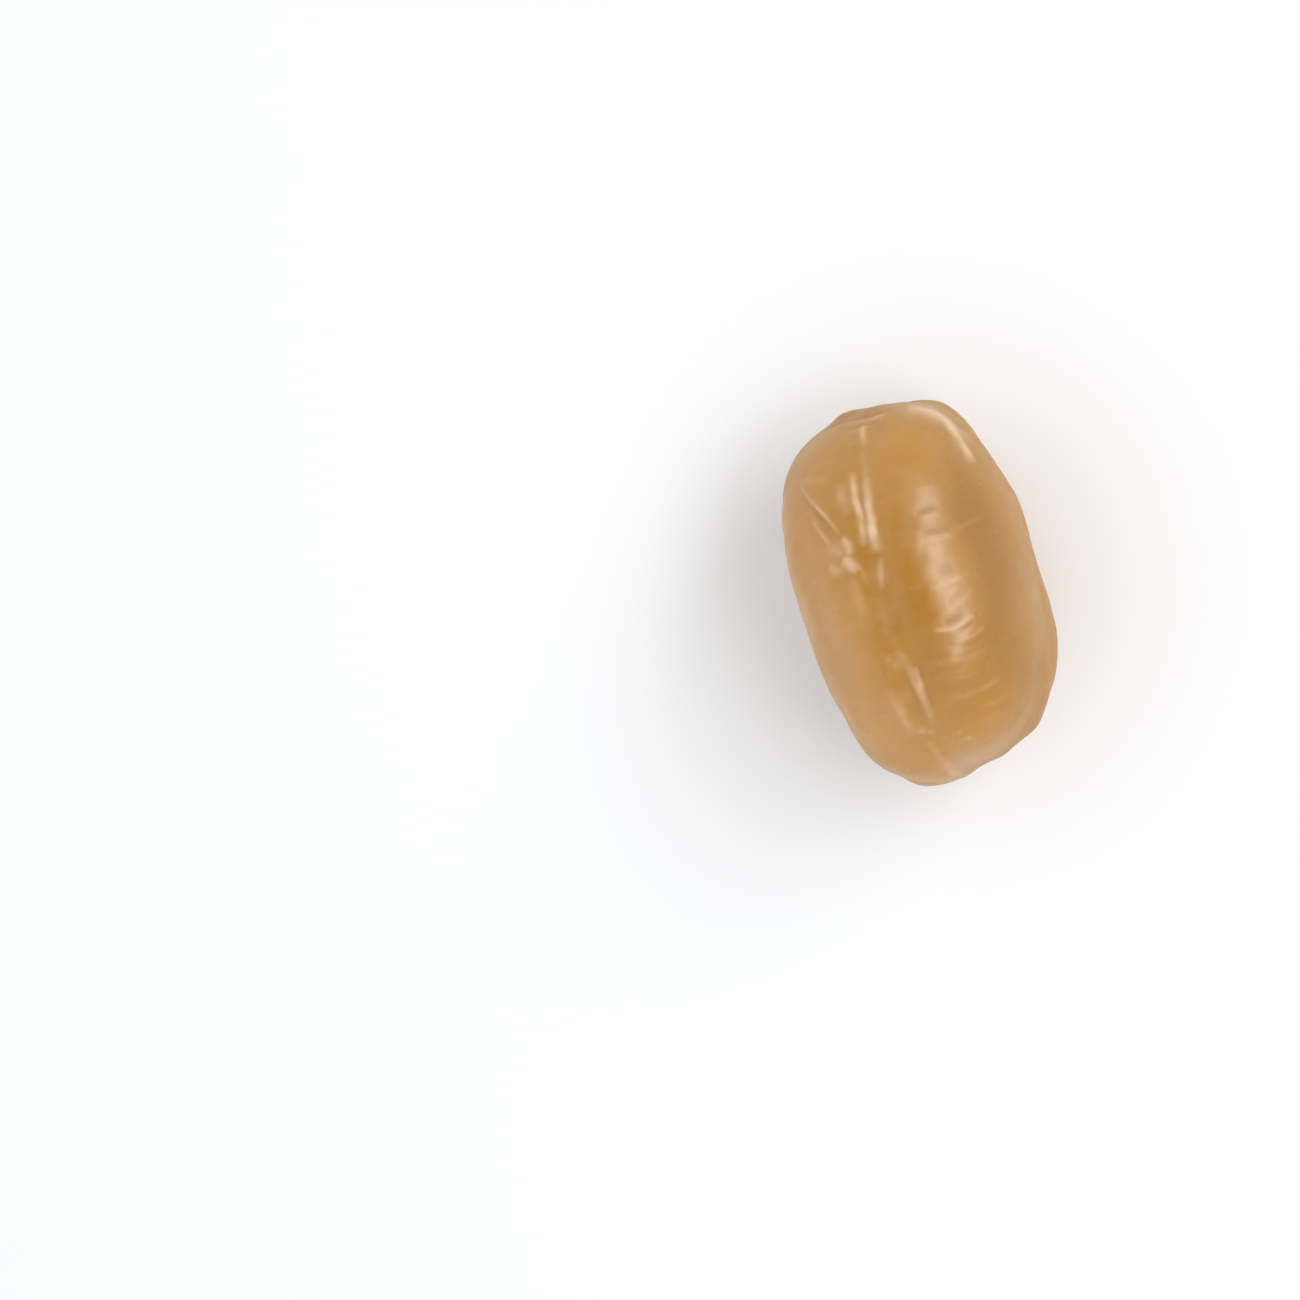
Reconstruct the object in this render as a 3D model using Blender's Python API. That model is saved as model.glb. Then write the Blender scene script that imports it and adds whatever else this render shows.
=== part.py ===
"""A butterscotch drop: one boiled-sugar sweet, pressed warm from a rope of sugar.

The sweet is a fat pillow that two roller pockets pressed. A parting seam runs all round
it, a pinched nub stands at each end where the rope was cut, and the skin is waved,
creased and scuffed from handling while it was warm. It lies on its long edge, on a
small flat spot, with the most marked stretch of the seam on top.

X is the thickness, Y is the length, and Z is the width, which stands up.
"""

import bmesh
import bpy
import numpy as np

MM = 0.001

# Driving sizes of the pillow, without its nubs and weals
THICKNESS = 14.9 * MM
LENGTH = 24.0 * MM
WIDTH = 18.6 * MM
SQUARENESS = 2.6
END_SLANT = 0.045
FLAT_SPOT_DEPTH = 0.26 * MM

# Cells along each edge of the cube that the pillow is blown up from
CELLS = 26

# The parting seam: where it crosses the middle, how far it strays for each unit of
# length, and the furrow that it lies in
SEAM_OFFSET = 0.05 * MM
SEAM_STRAY = 0.085
SEAM_FURROW_WIDTH = 1.0 * MM
SEAM_FURROW_DEPTH = 0.14 * MM
SEAM_LIP_WIDTH = 0.34 * MM
SEAM_LIP_HEIGHT = 0.17 * MM
SEAM_LIP_GAP = 0.5 * MM

# The seam fades out towards the nubs, between these shares of the half length
SEAM_FADES = 0.78
SEAM_ENDS = 0.95

# The pinched nubs: middle in X and Z, half size in X and Z, and how high they stand
UPPER_NUB_MIDDLE = (2.2 * MM, -0.8 * MM)
UPPER_NUB_REACH = (3.3 * MM, 5.2 * MM)
UPPER_NUB_HEIGHT = 0.26 * MM
LOWER_NUB_MIDDLE = (-3.3 * MM, 0.6 * MM)
LOWER_NUB_REACH = (3.0 * MM, 6.2 * MM)
LOWER_NUB_HEIGHT = 0.55 * MM

# How deep a nub is dished, and the groove round its foot
NUB_DIMPLE = 0.25 * MM
NUB_GROOVE = 0.04 * MM

# Unevenness of the skin: height and length of its waves
WAVE_HEIGHT = 0.05 * MM
WAVE_LENGTH = 8.0 * MM
WAVE_COUNT = 14
SEED = 7

# Creases on the hidden sides
CREASE_COUNT = 26
CREASE_LENGTH = 2.6 * MM
CREASE_WIDTH = 0.3 * MM
CREASE_DEPTH = 0.1 * MM

HALF = np.array([THICKNESS, LENGTH, WIDTH]) / 2

# The sugar: colour, roughness
BUTTERSCOTCH_COLOR = (0.51, 0.28, 0.09, 1.0)
BUTTERSCOTCH_ROUGHNESS = 0.42


def pillow(directions):
    """Points of the smooth pillow that lie in the given directions from its middle."""
    reach = (np.abs(directions / HALF) ** SQUARENESS).sum(axis=1) ** (1 / SQUARENESS)
    return directions / reach[:, None]


def pillow_normals(points):
    """Outward unit normals of the smooth pillow."""
    slope = np.sign(points) * np.abs(points / HALF) ** (SQUARENESS - 1) / HALF
    return slope / np.linalg.norm(slope, axis=1)[:, None]


def on_top(x, y):
    """The point of the pillow's upper side above x and y, which are in millimetres."""
    plan = np.array([x, y]) * MM
    rest = 1 - (np.abs(plan / HALF[:2]) ** SQUARENESS).sum()
    return np.array([*plan, HALF[2] * max(rest, 0) ** (1 / SQUARENESS)])


def step_up(low, high, value):
    """A smooth rise from 0 at low to 1 at high."""
    share = np.clip((value - low) / (high - low), 0, 1)
    return share * share * (3 - 2 * share)


def mound(points, at, radius, height):
    """Height of a soft round swelling, or of a dent if height is negative."""
    gap = np.linalg.norm(points - at, axis=1)
    return height * np.exp(-((gap / radius) ** 2))


def weal(points, path, width, height):
    """Height of a ridge along a path, or of a furrow if height is negative."""
    nearest = np.full(len(points), np.inf)
    along = np.zeros(len(points))
    legs = len(path) - 1
    for leg in range(legs):
        step = path[leg + 1] - path[leg]
        share = np.clip((points - path[leg]) @ step / (step @ step), 0, 1)
        gap = np.linalg.norm(points - path[leg] - share[:, None] * step, axis=1)
        closer = gap < nearest
        nearest[closer] = gap[closer]
        along[closer] = (leg + share[closer]) / legs
    fade = np.sqrt(np.clip(np.sin(np.pi * along), 0, 1))
    return height * fade * np.exp(-((nearest / width) ** 2))


def top_weal(points, stations, width, height):
    """A weal on the upper side, through stations of x and y in millimetres."""
    path = [on_top(x, y) for x, y in stations]
    return weal(points, path, width * MM, height * MM)


def seam(points):
    """The furrow and the broken lips of the parting seam, all round the sweet."""
    gap = points[:, 0] - SEAM_OFFSET - SEAM_STRAY * points[:, 1]
    round_angle = np.arctan2(points[:, 2] / HALF[2], points[:, 1] / HALF[1])
    furrow = -SEAM_FURROW_DEPTH * np.exp(-((gap / SEAM_FURROW_WIDTH) ** 2))
    strength = 0.5 + 0.3 * np.sin(3 * round_angle + 1.0) + 0.2 * np.sin(8 * round_angle)
    spread = SEAM_LIP_GAP * (1 + 0.6 * np.sin(2 * round_angle + 0.6))
    lips = np.exp(-(((np.abs(gap) - spread) / SEAM_LIP_WIDTH) ** 2))
    below = 1 - step_up(0.2 * HALF[2], 0.6 * HALF[2], points[:, 2])
    off_nubs = 1 - step_up(SEAM_FADES, SEAM_ENDS, np.abs(points[:, 1]) / HALF[1])
    return (furrow + SEAM_LIP_HEIGHT * lips * strength * below) * off_nubs


def top_seam(points):
    """The lips of the seam's upper stretch, which part, close and part again."""
    height = top_weal(points, [(0.9, 11.1), (0.85, 10.4), (0.8, 9.4)], 0.4, 0.12)
    height += top_weal(points, [(0.1, 8.6), (-0.2, 6.6), (-0.5, 4.4), (-0.6, 3.1)], 0.4, 0.1)
    height += top_weal(points, [(0.75, 7.6), (0.62, 6.3), (0.35, 4.6), (0.2, 2.9)], 0.45, 0.14)
    height += top_weal(points, [(0.25, 2.5), (0.1, 1.5), (-0.2, -0.4)], 0.4, 0.08)
    height += top_weal(points, [(-1.2, -3.3), (-1.8, -5.6), (-1.9, -7.4), (-1.4, -8.9)], 0.5, 0.13)
    height += top_weal(points, [(-0.3, -3.0), (0.0, -4.5), (-0.1, -6.6), (-0.4, -8.8)], 0.5, 0.16)
    height += top_weal(points, [(-0.8, -3.2), (-0.9, -6.0), (-1.0, -8.8)], 0.55, -0.1)
    height += top_weal(points, [(-0.9, -9.4), (-0.8, -10.6), (-0.7, -11.6)], 0.45, 0.12)
    return height


def top_scuffs(points):
    """Scratches and pressed scuffs on the half of the upper side at -X."""
    height = top_weal(points, [(-4.1, 9.3), (-2.7, 7.2), (-1.7, 5.1), (-1.6, 3.3)], 0.42, 0.09)
    height += top_weal(points, [(-3.5, 6.4), (-3.1, 5.2), (-2.6, 4.2)], 0.42, 0.07)
    height += top_weal(points, [(-1.7, 4.0), (-1.6, 3.2), (-1.6, 2.3)], 0.45, 0.09)
    height += top_weal(points, [(-3.4, 3.6), (-2.5, 2.7), (-1.5, 2.4)], 0.45, 0.07)
    height += top_weal(points, [(-3.0, 4.4), (-2.3, 3.4), (-1.7, 3.1)], 0.45, -0.07)
    height += top_weal(points, [(-1.9, 1.9), (-1.8, 0.6), (-1.6, -0.9)], 0.6, 0.05)
    return height


def top_creases(points):
    """Short crosswise dents and wrinkles along the crest at +X of the seam."""
    height = top_weal(points, [(3.0, 4.4), (3.8, 4.6), (4.6, 4.2)], 0.4, -0.08)
    height += top_weal(points, [(3.0, 2.9), (4.1, 3.15), (5.0, 2.7)], 0.4, -0.08)
    height += top_weal(points, [(3.1, 0.4), (3.9, 0.7), (4.6, 0.3)], 0.42, -0.1)
    height += top_weal(points, [(2.2, -2.9), (3.4, -3.4), (4.5, -3.2)], 0.4, 0.05)
    height += top_weal(points, [(3.0, -3.6), (3.6, -3.9), (4.4, -3.7)], 0.4, -0.06)
    height += top_weal(points, [(2.5, -4.0), (3.5, -4.5), (4.7, -4.3)], 0.4, 0.05)
    height += top_weal(points, [(3.0, -7.3), (3.8, -7.65), (4.7, -7.3)], 0.4, 0.05)
    return height


def nub(points, side, middle, half_size, height):
    """The pinched nub on the end at side times Y, with a rim, a dimple and a groove."""
    across = (points[:, 0] - middle[0]) / half_size[0]
    up = (points[:, 2] - middle[1]) / half_size[1]
    turn = np.arctan2(up, across)
    ragged = 1 + 0.07 * np.sin(3 * turn + 2 * side) + 0.05 * np.sin(7 * turn + side)
    reach = (np.abs(across) ** 3 + np.abs(up) ** 3) ** (1 / 3) * ragged
    boss = height * (1 - step_up(0.45, 1.3, reach))
    rim = 0.12 * height * np.exp(-(((reach - 0.74) / 0.14) ** 2))
    groove = -NUB_GROOVE * np.exp(-(((reach - 1.25) / 0.14) ** 2))
    dimple = -NUB_DIMPLE * np.exp(-((reach / 0.45) ** 2))
    on_end = step_up(0.45 * HALF[1], 0.62 * HALF[1], side * points[:, 1])
    return (boss + rim + groove + dimple) * on_end


def swellings(points):
    """Broad swellings and flats of a sweet that set a little out of true."""
    height = mound(points, np.array([-4.6, 8.6, 2.0]) * MM, 4.0 * MM, 0.2 * MM)
    height += mound(points, np.array([4.2, 10.6, -1.5]) * MM, 2.6 * MM, 0.12 * MM)
    height += mound(points, np.array([7.2, 2.5, 1.0]) * MM, 4.0 * MM, 0.3 * MM)
    height += mound(points, np.array([7.0, -6.4, -1.0]) * MM, 2.6 * MM, 0.35 * MM)
    height += mound(points, np.array([4.4, -10.7, 1.5]) * MM, 2.6 * MM, -0.4 * MM)
    height += mound(points, np.array([3.9, -11.0, -3.0]) * MM, 1.2 * MM, 0.25 * MM)
    height += mound(points, np.array([-3.7, -11.7, 0.0]) * MM, 1.8 * MM, 0.7 * MM)
    height += mound(points, np.array([-6.4, -9.2, 0.0]) * MM, 2.2 * MM, -0.7 * MM)
    height += mound(points, np.array([1.3, -12.1, -1.0]) * MM, 1.8 * MM, 0.25 * MM)
    height += mound(points, np.array([-1.0, 11.9, 1.5]) * MM, 1.1 * MM, 0.35 * MM)
    height += mound(points, np.array([-6.6, -7.4, 1.0]) * MM, 3.4 * MM, -0.3 * MM)
    height += mound(points, np.array([-7.2, 3.0, 1.0]) * MM, 4.5 * MM, -0.12 * MM)
    return height


def waves(points, rng):
    """Low waves all over the skin, in directions drawn from the seeded generator."""
    height = np.zeros(len(points))
    for _ in range(WAVE_COUNT):
        heading = rng.normal(size=3)
        heading *= 2 * np.pi / (WAVE_LENGTH * rng.uniform(0.5, 1.2) * np.linalg.norm(heading))
        height += WAVE_HEIGHT * np.sin(points @ heading + rng.uniform(0, 2 * np.pi))
    return height / np.sqrt(WAVE_COUNT / 2)


def hidden_creases(points, rng):
    """Crosswise creases on the lower side, like those that show on top."""
    height = np.zeros(len(points))
    for _ in range(CREASE_COUNT):
        x, y = rng.uniform(-0.75, 0.75, size=2) * HALF[:2] / MM
        place = on_top(x, y) * (1, 1, -1)
        reach = CREASE_LENGTH * rng.uniform(0.3, 0.6)
        tilt = rng.normal(0, 0.3)
        step = reach * np.array([np.cos(tilt), np.sin(tilt), 0])
        depth = CREASE_DEPTH * rng.choice([-1.4, 1.0])
        height += weal(points, [place - step, place, place + step], CREASE_WIDTH, depth)
    return height


def sweet_points(points):
    """Points of the smooth pillow moved out and in to the skin of the real sweet."""
    rng = np.random.default_rng(SEED)
    height = seam(points) + top_seam(points) + top_scuffs(points) + top_creases(points)
    height += nub(points, 1, UPPER_NUB_MIDDLE, UPPER_NUB_REACH, UPPER_NUB_HEIGHT)
    height += nub(points, -1, LOWER_NUB_MIDDLE, LOWER_NUB_REACH, LOWER_NUB_HEIGHT)
    height += swellings(points) + waves(points, rng) + hidden_creases(points, rng)
    moved = points + pillow_normals(points) * height[:, None]
    moved[:, 1] += END_SLANT * moved[:, 0]
    return moved


def blown_up_cube(mesh):
    """A cube of even cells, blown up to the smooth pillow and then to the sweet."""
    bmesh.ops.create_cube(mesh, size=2)
    bmesh.ops.subdivide_edges(mesh, edges=mesh.edges[:], cuts=CELLS - 1, use_grid_fill=True)
    cube = np.array([vert.co for vert in mesh.verts])
    evened = np.tan(cube * np.pi / 4)
    for vert, place in zip(mesh.verts, sweet_points(pillow(evened * HALF))):
        vert.co = place


def flat_spot(mesh):
    """Cuts the lowest part off level, so that the sweet has a spot to rest on."""
    level = -HALF[2] + FLAT_SPOT_DEPTH
    parts = mesh.verts[:] + mesh.edges[:] + mesh.faces[:]
    cut = bmesh.ops.bisect_plane(mesh, geom=parts, dist=0.02 * MM, plane_co=(0, 0, level),
                                 plane_no=(0, 0, 1), clear_inner=True)
    rim = [part for part in cut["geom_cut"] if isinstance(part, bmesh.types.BMEdge)]
    for edge in rim:
        for vert in edge.verts:
            vert.co.z = level
    bmesh.ops.contextual_create(mesh, geom=rim)


def stand_on_origin(mesh):
    """Moves the mesh so that the middle of its box's underside is at the origin."""
    places = np.array([vert.co for vert in mesh.verts])
    low, high = places.min(axis=0), places.max(axis=0)
    foot = [(low[0] + high[0]) / 2, (low[1] + high[1]) / 2, low[2]]
    bmesh.ops.translate(mesh, verts=mesh.verts[:], vec=[-value for value in foot])


def butterscotch():
    """Opaque golden-brown boiled sugar with a waxy shine."""
    material = bpy.data.materials.new("butterscotch")
    material.use_nodes = True
    shader = material.node_tree.nodes["Principled BSDF"]
    shader.inputs["Base Color"].default_value = BUTTERSCOTCH_COLOR
    shader.inputs["Roughness"].default_value = BUTTERSCOTCH_ROUGHNESS
    shader.inputs["Metallic"].default_value = 0.0
    return material


def make_drop():
    """The whole sweet, one solid piece."""
    mesh = bmesh.new()
    blown_up_cube(mesh)
    flat_spot(mesh)
    stand_on_origin(mesh)
    bmesh.ops.triangulate(mesh, faces=mesh.faces[:])
    bmesh.ops.recalc_face_normals(mesh, faces=mesh.faces[:])
    data = bpy.data.meshes.new("drop")
    mesh.to_mesh(data)
    mesh.free()
    data.materials.append(butterscotch())
    data.shade_smooth()
    drop = bpy.data.objects.new("drop", data)
    bpy.context.scene.collection.objects.link(drop)


def main():
    for leftover in list(bpy.data.objects):
        bpy.data.objects.remove(leftover, do_unlink=True)
    make_drop()


main()
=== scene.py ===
"""The looks of a butterscotch drop: its creased skin, its waxy sugar and a white table.

The file is laid out as an add-on and run as a script. Sizes are in metres. The sweet lies
on its long edge: X is its thickness, Y its length and Z its width, which stands up.
"""

import math

import bmesh
import bpy
import numpy as np
from bpy.props import FloatProperty, FloatVectorProperty, IntProperty, PointerProperty
from mathutils import Matrix, Vector


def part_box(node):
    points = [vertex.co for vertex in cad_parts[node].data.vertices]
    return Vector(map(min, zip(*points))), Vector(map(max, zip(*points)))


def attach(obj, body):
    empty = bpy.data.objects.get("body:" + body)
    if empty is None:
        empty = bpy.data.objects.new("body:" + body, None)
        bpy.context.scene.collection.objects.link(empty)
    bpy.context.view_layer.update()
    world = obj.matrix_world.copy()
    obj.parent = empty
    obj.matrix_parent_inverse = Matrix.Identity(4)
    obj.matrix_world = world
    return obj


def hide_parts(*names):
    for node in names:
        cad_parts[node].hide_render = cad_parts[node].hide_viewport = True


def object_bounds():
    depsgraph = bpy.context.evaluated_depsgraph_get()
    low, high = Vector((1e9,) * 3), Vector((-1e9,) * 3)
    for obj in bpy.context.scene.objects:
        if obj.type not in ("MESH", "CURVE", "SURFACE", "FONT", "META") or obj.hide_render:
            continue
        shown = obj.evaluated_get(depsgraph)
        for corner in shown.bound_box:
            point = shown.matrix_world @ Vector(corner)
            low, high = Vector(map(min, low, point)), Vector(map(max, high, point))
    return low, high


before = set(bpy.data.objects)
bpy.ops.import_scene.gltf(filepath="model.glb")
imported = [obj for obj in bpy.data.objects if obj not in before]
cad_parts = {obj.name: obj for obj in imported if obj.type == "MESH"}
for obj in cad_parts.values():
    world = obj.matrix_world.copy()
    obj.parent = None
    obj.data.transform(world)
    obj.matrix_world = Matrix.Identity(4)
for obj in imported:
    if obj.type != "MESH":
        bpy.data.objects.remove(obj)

CAD_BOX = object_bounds()

bl_info = {
    "name": "Butterscotch drop",
    "version": (1, 0, 0),
    "blender": (4, 5, 0),
    "location": "3D View > Sidebar > Sweet",
    "description": "Makes the skin and sugar of a butterscotch drop, with its table and light",
    "category": "Object",
}

MM = 0.001
NODE = "drop"

# Crosswise ribs and streaks run this much finer along Y than along X and Z
RIB_GRAIN = (0.35, 1.0, 0.5)

# The seam fades out towards the nubs, between these shares of the half length
SEAM_FADES = 0.78
SEAM_ENDS = 0.95

# The pinched nubs: middle in X and Z, and half size in X and Z, in millimetres
UPPER_NUB = ((2.2, -0.8), (3.3, 5.2))
LOWER_NUB = ((-3.3, 0.6), (3.0, 6.2))

# Where a nub's rim and the groove round its foot lie, and how wide they are, as shares
# of its half size
NUB_RIM = (0.74, 0.14)
NUB_FOOT = (1.25, 0.14)

# How many sines make up the waves, the ripple and the ribs
WAVE_COUNT = 14
RIPPLE_COUNT = 18
RIB_COUNT = 30

# Lengths over which marks stray from their paths and turn stronger and fainter
STRAY_LENGTH = 2.6 * MM
FADE_LENGTH = 1.3 * MM

# Painted shade darkens the sugar down the sides, between these heights over the middle, in
# millimetres
HIGH_SHADE = 6.8
LOW_SHADE = 2.0

# The key light: its size, its distance, the way to it and the way that it is long
KEY_SIZE = (0.18, 0.56)
KEY_DISTANCE = 0.49
KEY_WAY = (0.67, 0.05, 0.74)
KEY_LONG_WAY = (0.38, 0.78, -0.38)

# Scales of the sugar's patterns, in cells for each metre
CLOUD_SCALE = 190.0
RUB_SCALE = 420.0
STREAK_SCALE = 1500.0
SPECK_SCALE = 2200.0
STREAK_RELIEF_SCALE = 2200.0
PORE_SCALE = 2600.0

# How much amber the clouds add, and how much bloom the specks add
CLOUD_AMBER = 0.3
SPECK_BLOOM = 0.12

# How far red, green and blue light travel in the sugar, as shares of the glow depth
GLOW_TINT = (1.0, 0.5, 0.2)

# Sines of the heights between which the wall at -X loses its extra brightness, and
# between which the room darkens towards the ceiling
SIDE_FADES = 0.3
SIDE_ENDS = 0.65
CEILING_EDGE = 0.86
CEILING_MIDDLE = 0.99


def size_property(name, description, millimetres):
    """A length that a user may change, given in millimetres and kept in metres."""
    return FloatProperty(name=name, description=description, default=millimetres * MM,
                         unit="LENGTH", precision=5)


def share_property(name, description, default, low=0.0, high=1.0):
    """A plain number between two limits."""
    return FloatProperty(name=name, description=description, default=default,
                         min=low, max=high)


def color_property(name, description, default):
    """A linear colour."""
    return FloatVectorProperty(name=name, description=description, default=default,
                               subtype="COLOR", size=3, min=0.0, max=1.0)


def angle_property(name, description, degrees):
    """An angle, given in degrees and kept in radians."""
    return FloatProperty(name=name, description=description, default=math.radians(degrees),
                         subtype="ANGLE")


class DropShape(bpy.types.PropertyGroup):
    """Sizes of the sweet."""

    thickness: size_property("Thickness", "Across the seam", 14.9)
    length: size_property("Length", "Between the ends, without the nubs", 24.0)
    width: size_property("Width", "From the flat spot to the top seam", 18.6)
    squareness: share_property("Squareness", "2 is round, more is boxier", 2.6, 2.0, 6.0)
    end_slant: share_property("End slant", "How far the ends are cut askew", 0.045)
    flat_spot_depth: size_property("Flat spot", "How much is flat underneath", 0.26)
    cells: IntProperty(name="Cells", description="Cells along an edge of the mesh",
                       default=126, min=8, max=128)
    seam_offset: size_property("Seam offset", "Where the seam crosses the middle", 0.05)
    seam_stray: share_property("Seam stray", "Sideways drift along the length", 0.085)
    seam_furrow_width: size_property("Seam furrow width", "Half width of the furrow", 1.0)
    seam_furrow_depth: size_property("Seam furrow depth", "Depth of the furrow", 0.14)
    seam_lip_width: size_property("Seam lip width", "Half width of a lip", 0.34)
    seam_lip_height: size_property("Seam lip height", "Height of a lip", 0.17)
    seam_lip_gap: size_property("Seam lip gap", "From the seam to a lip", 0.5)
    upper_nub_height: size_property("Upper nub", "How far the end at +Y stands out", 0.26)
    lower_nub_height: size_property("Lower nub", "How far the end at -Y stands out", 0.55)
    nub_dimple: size_property("Nub dimple", "How deep a pinched end is dished", 0.25)
    nub_groove: size_property("Nub groove", "Depth of the groove round a nub", 0.04)
    crease_count: IntProperty(name="Creases", description="Creases on the lower side",
                              default=26)
    crease_length: size_property("Crease length", "Length of the longest crease", 2.6)
    crease_width: size_property("Crease width", "Half width of a crease", 0.2)
    crease_depth: size_property("Crease depth", "Depth of a crease", 0.1)
    scuff_count: IntProperty(name="Scuffs", description="Scuffs round the sides",
                             default=44)
    scuff_length: size_property("Scuff length", "Half length of the longest scuff", 1.7)
    scuff_width: size_property("Scuff width", "Half width of a scuff", 0.18)
    scuff_height: size_property("Scuff height", "Height or depth of a scuff", 0.03)
    wave_height: size_property("Wave height", "Height of the skin's low waves", 0.05)
    wave_length: size_property("Wave length", "Length of the skin's low waves", 8.0)
    ripple_height: size_property("Ripple height", "Height of the hand-made ripple", 0.01)
    ripple_length: size_property("Ripple length", "Length of the hand-made ripple", 1.7)
    rib_height: size_property("Rib height", "Height of the fine crosswise ribs", 0.0015)
    rib_length: size_property("Rib length", "Length of the fine crosswise ribs", 0.8)
    wander: size_property("Wander", "How far marks stray from their paths", 0.05)
    seed: IntProperty(name="Seed", description="Starts the random draws", default=7)


class SugarFinish(bpy.types.PropertyGroup):
    """Colour and shine of the sugar."""

    sugar_color: color_property("Sugar", "Main colour", (0.51, 0.243, 0.019))
    # Deeper sugar of the clouds, also used as the colour of painted shade
    amber_and_shade_color: color_property("Amber", "Deeper, clearer patches", (0.37, 0.166, 0.008))
    cream_color: color_property("Cream", "Paler, milkier patches", (0.56, 0.287, 0.05))
    # Pale sugar of rubbed places, also laid on as painted sheen and painted highlight on rims,
    # ends, crest and lips
    rub_and_sheen_color: color_property("Bloom", "Rubbed and scuffed sugar", (0.74, 0.53, 0.35))
    roughness: share_property("Roughness", "Of the waxy skin", 0.32)
    scuffed_roughness: share_property("Scuffed roughness", "Of rubbed places", 0.46)
    # The places of painted shade also gain roughness
    dullness: share_property("Dullness", "Roughness that amber places gain", 0.25)
    glow_depth: size_property("Glow depth", "How far light travels inside", 1.1)
    pore_height: size_property("Pore height", "Height of the finest grain", 0.012)
    streak_height: size_property("Streak height", "Height of crosswise streaks", 0.008)


class Studio(bpy.types.PropertyGroup):
    """The table, the light and the camera."""

    table_color: color_property("Table", "Colour of the table", (0.94, 0.955, 0.975))
    table_size: FloatProperty(name="Table size", description="Edge of the table",
                              default=1.2, unit="LENGTH")
    key_power: FloatProperty(name="Key light", description="Power of the soft key light",
                             default=1.33, unit="POWER")
    wall_strength: share_property("Walls", "Brightness of the white walls", 0.89, 0.0, 4.0)
    side_strength: share_property("Side", "How much brighter the wall at -X is", 0.5, 0.0, 4.0)
    lean: angle_property("Lean", "Camera's lean from above towards +X", 13.0)
    turn: angle_property("Turn", "How far the length shows off upright", 17.9)
    distance: FloatProperty(name="Camera distance", description="From the sweet's middle",
                            default=0.35, unit="LENGTH")
    scale: FloatProperty(name="Picture scale", description="Pixels for each millimetre",
                         default=15.4)
    picture_size: IntProperty(name="Picture size", description="Edge of the picture, pixels",
                              default=1300)
    middle_right: FloatProperty(name="Middle, right", default=922.5,
                                description="Pixels from the left edge to the sweet's middle")
    middle_down: FloatProperty(name="Middle, down", default=590.0,
                               description="Pixels from the top edge to the sweet's middle")


def step_up(low, high, value):
    """A smooth rise from 0 at low to 1 at high."""
    share = np.clip((value - low) / (high - low), 0, 1)
    return share * share * (3 - 2 * share)


def sine_field(points, rng, length, count=12, spread=(0.6, 1.4), grain=(1, 1, 1)):
    """A smooth random field of about unit size, a sum of sines in drawn directions."""
    field = np.zeros(len(points))
    for _ in range(count):
        heading = rng.normal(size=3) * grain
        heading *= 2 * np.pi / (length * rng.uniform(*spread) * np.linalg.norm(heading))
        field += np.sin(points @ heading + rng.uniform(0, 2 * np.pi))
    return field / np.sqrt(count / 2)


class Pillow:
    """The smooth pillow that two roller pockets press."""

    def __init__(self, shape):
        self.half = np.array([shape.thickness, shape.length, shape.width]) / 2
        self.power = shape.squareness

    def points(self, directions):
        """Points of the pillow in the given directions from its middle."""
        reach = (np.abs(directions / self.half) ** self.power).sum(axis=1)
        return directions / (reach ** (1 / self.power))[:, None]

    def normals(self, points):
        """Outward unit normals at the given points of the pillow."""
        slope = np.sign(points) * np.abs(points / self.half) ** (self.power - 1) / self.half
        return slope / np.linalg.norm(slope, axis=1)[:, None]

    def on_top(self, x, y):
        """The point of the upper side above x and y, which are in millimetres."""
        plan = np.array([x, y]) * MM
        rest = 1 - (np.abs(plan / self.half[:2]) ** self.power).sum()
        return np.array([*plan, self.half[2] * max(rest, 0) ** (1 / self.power)])


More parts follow.
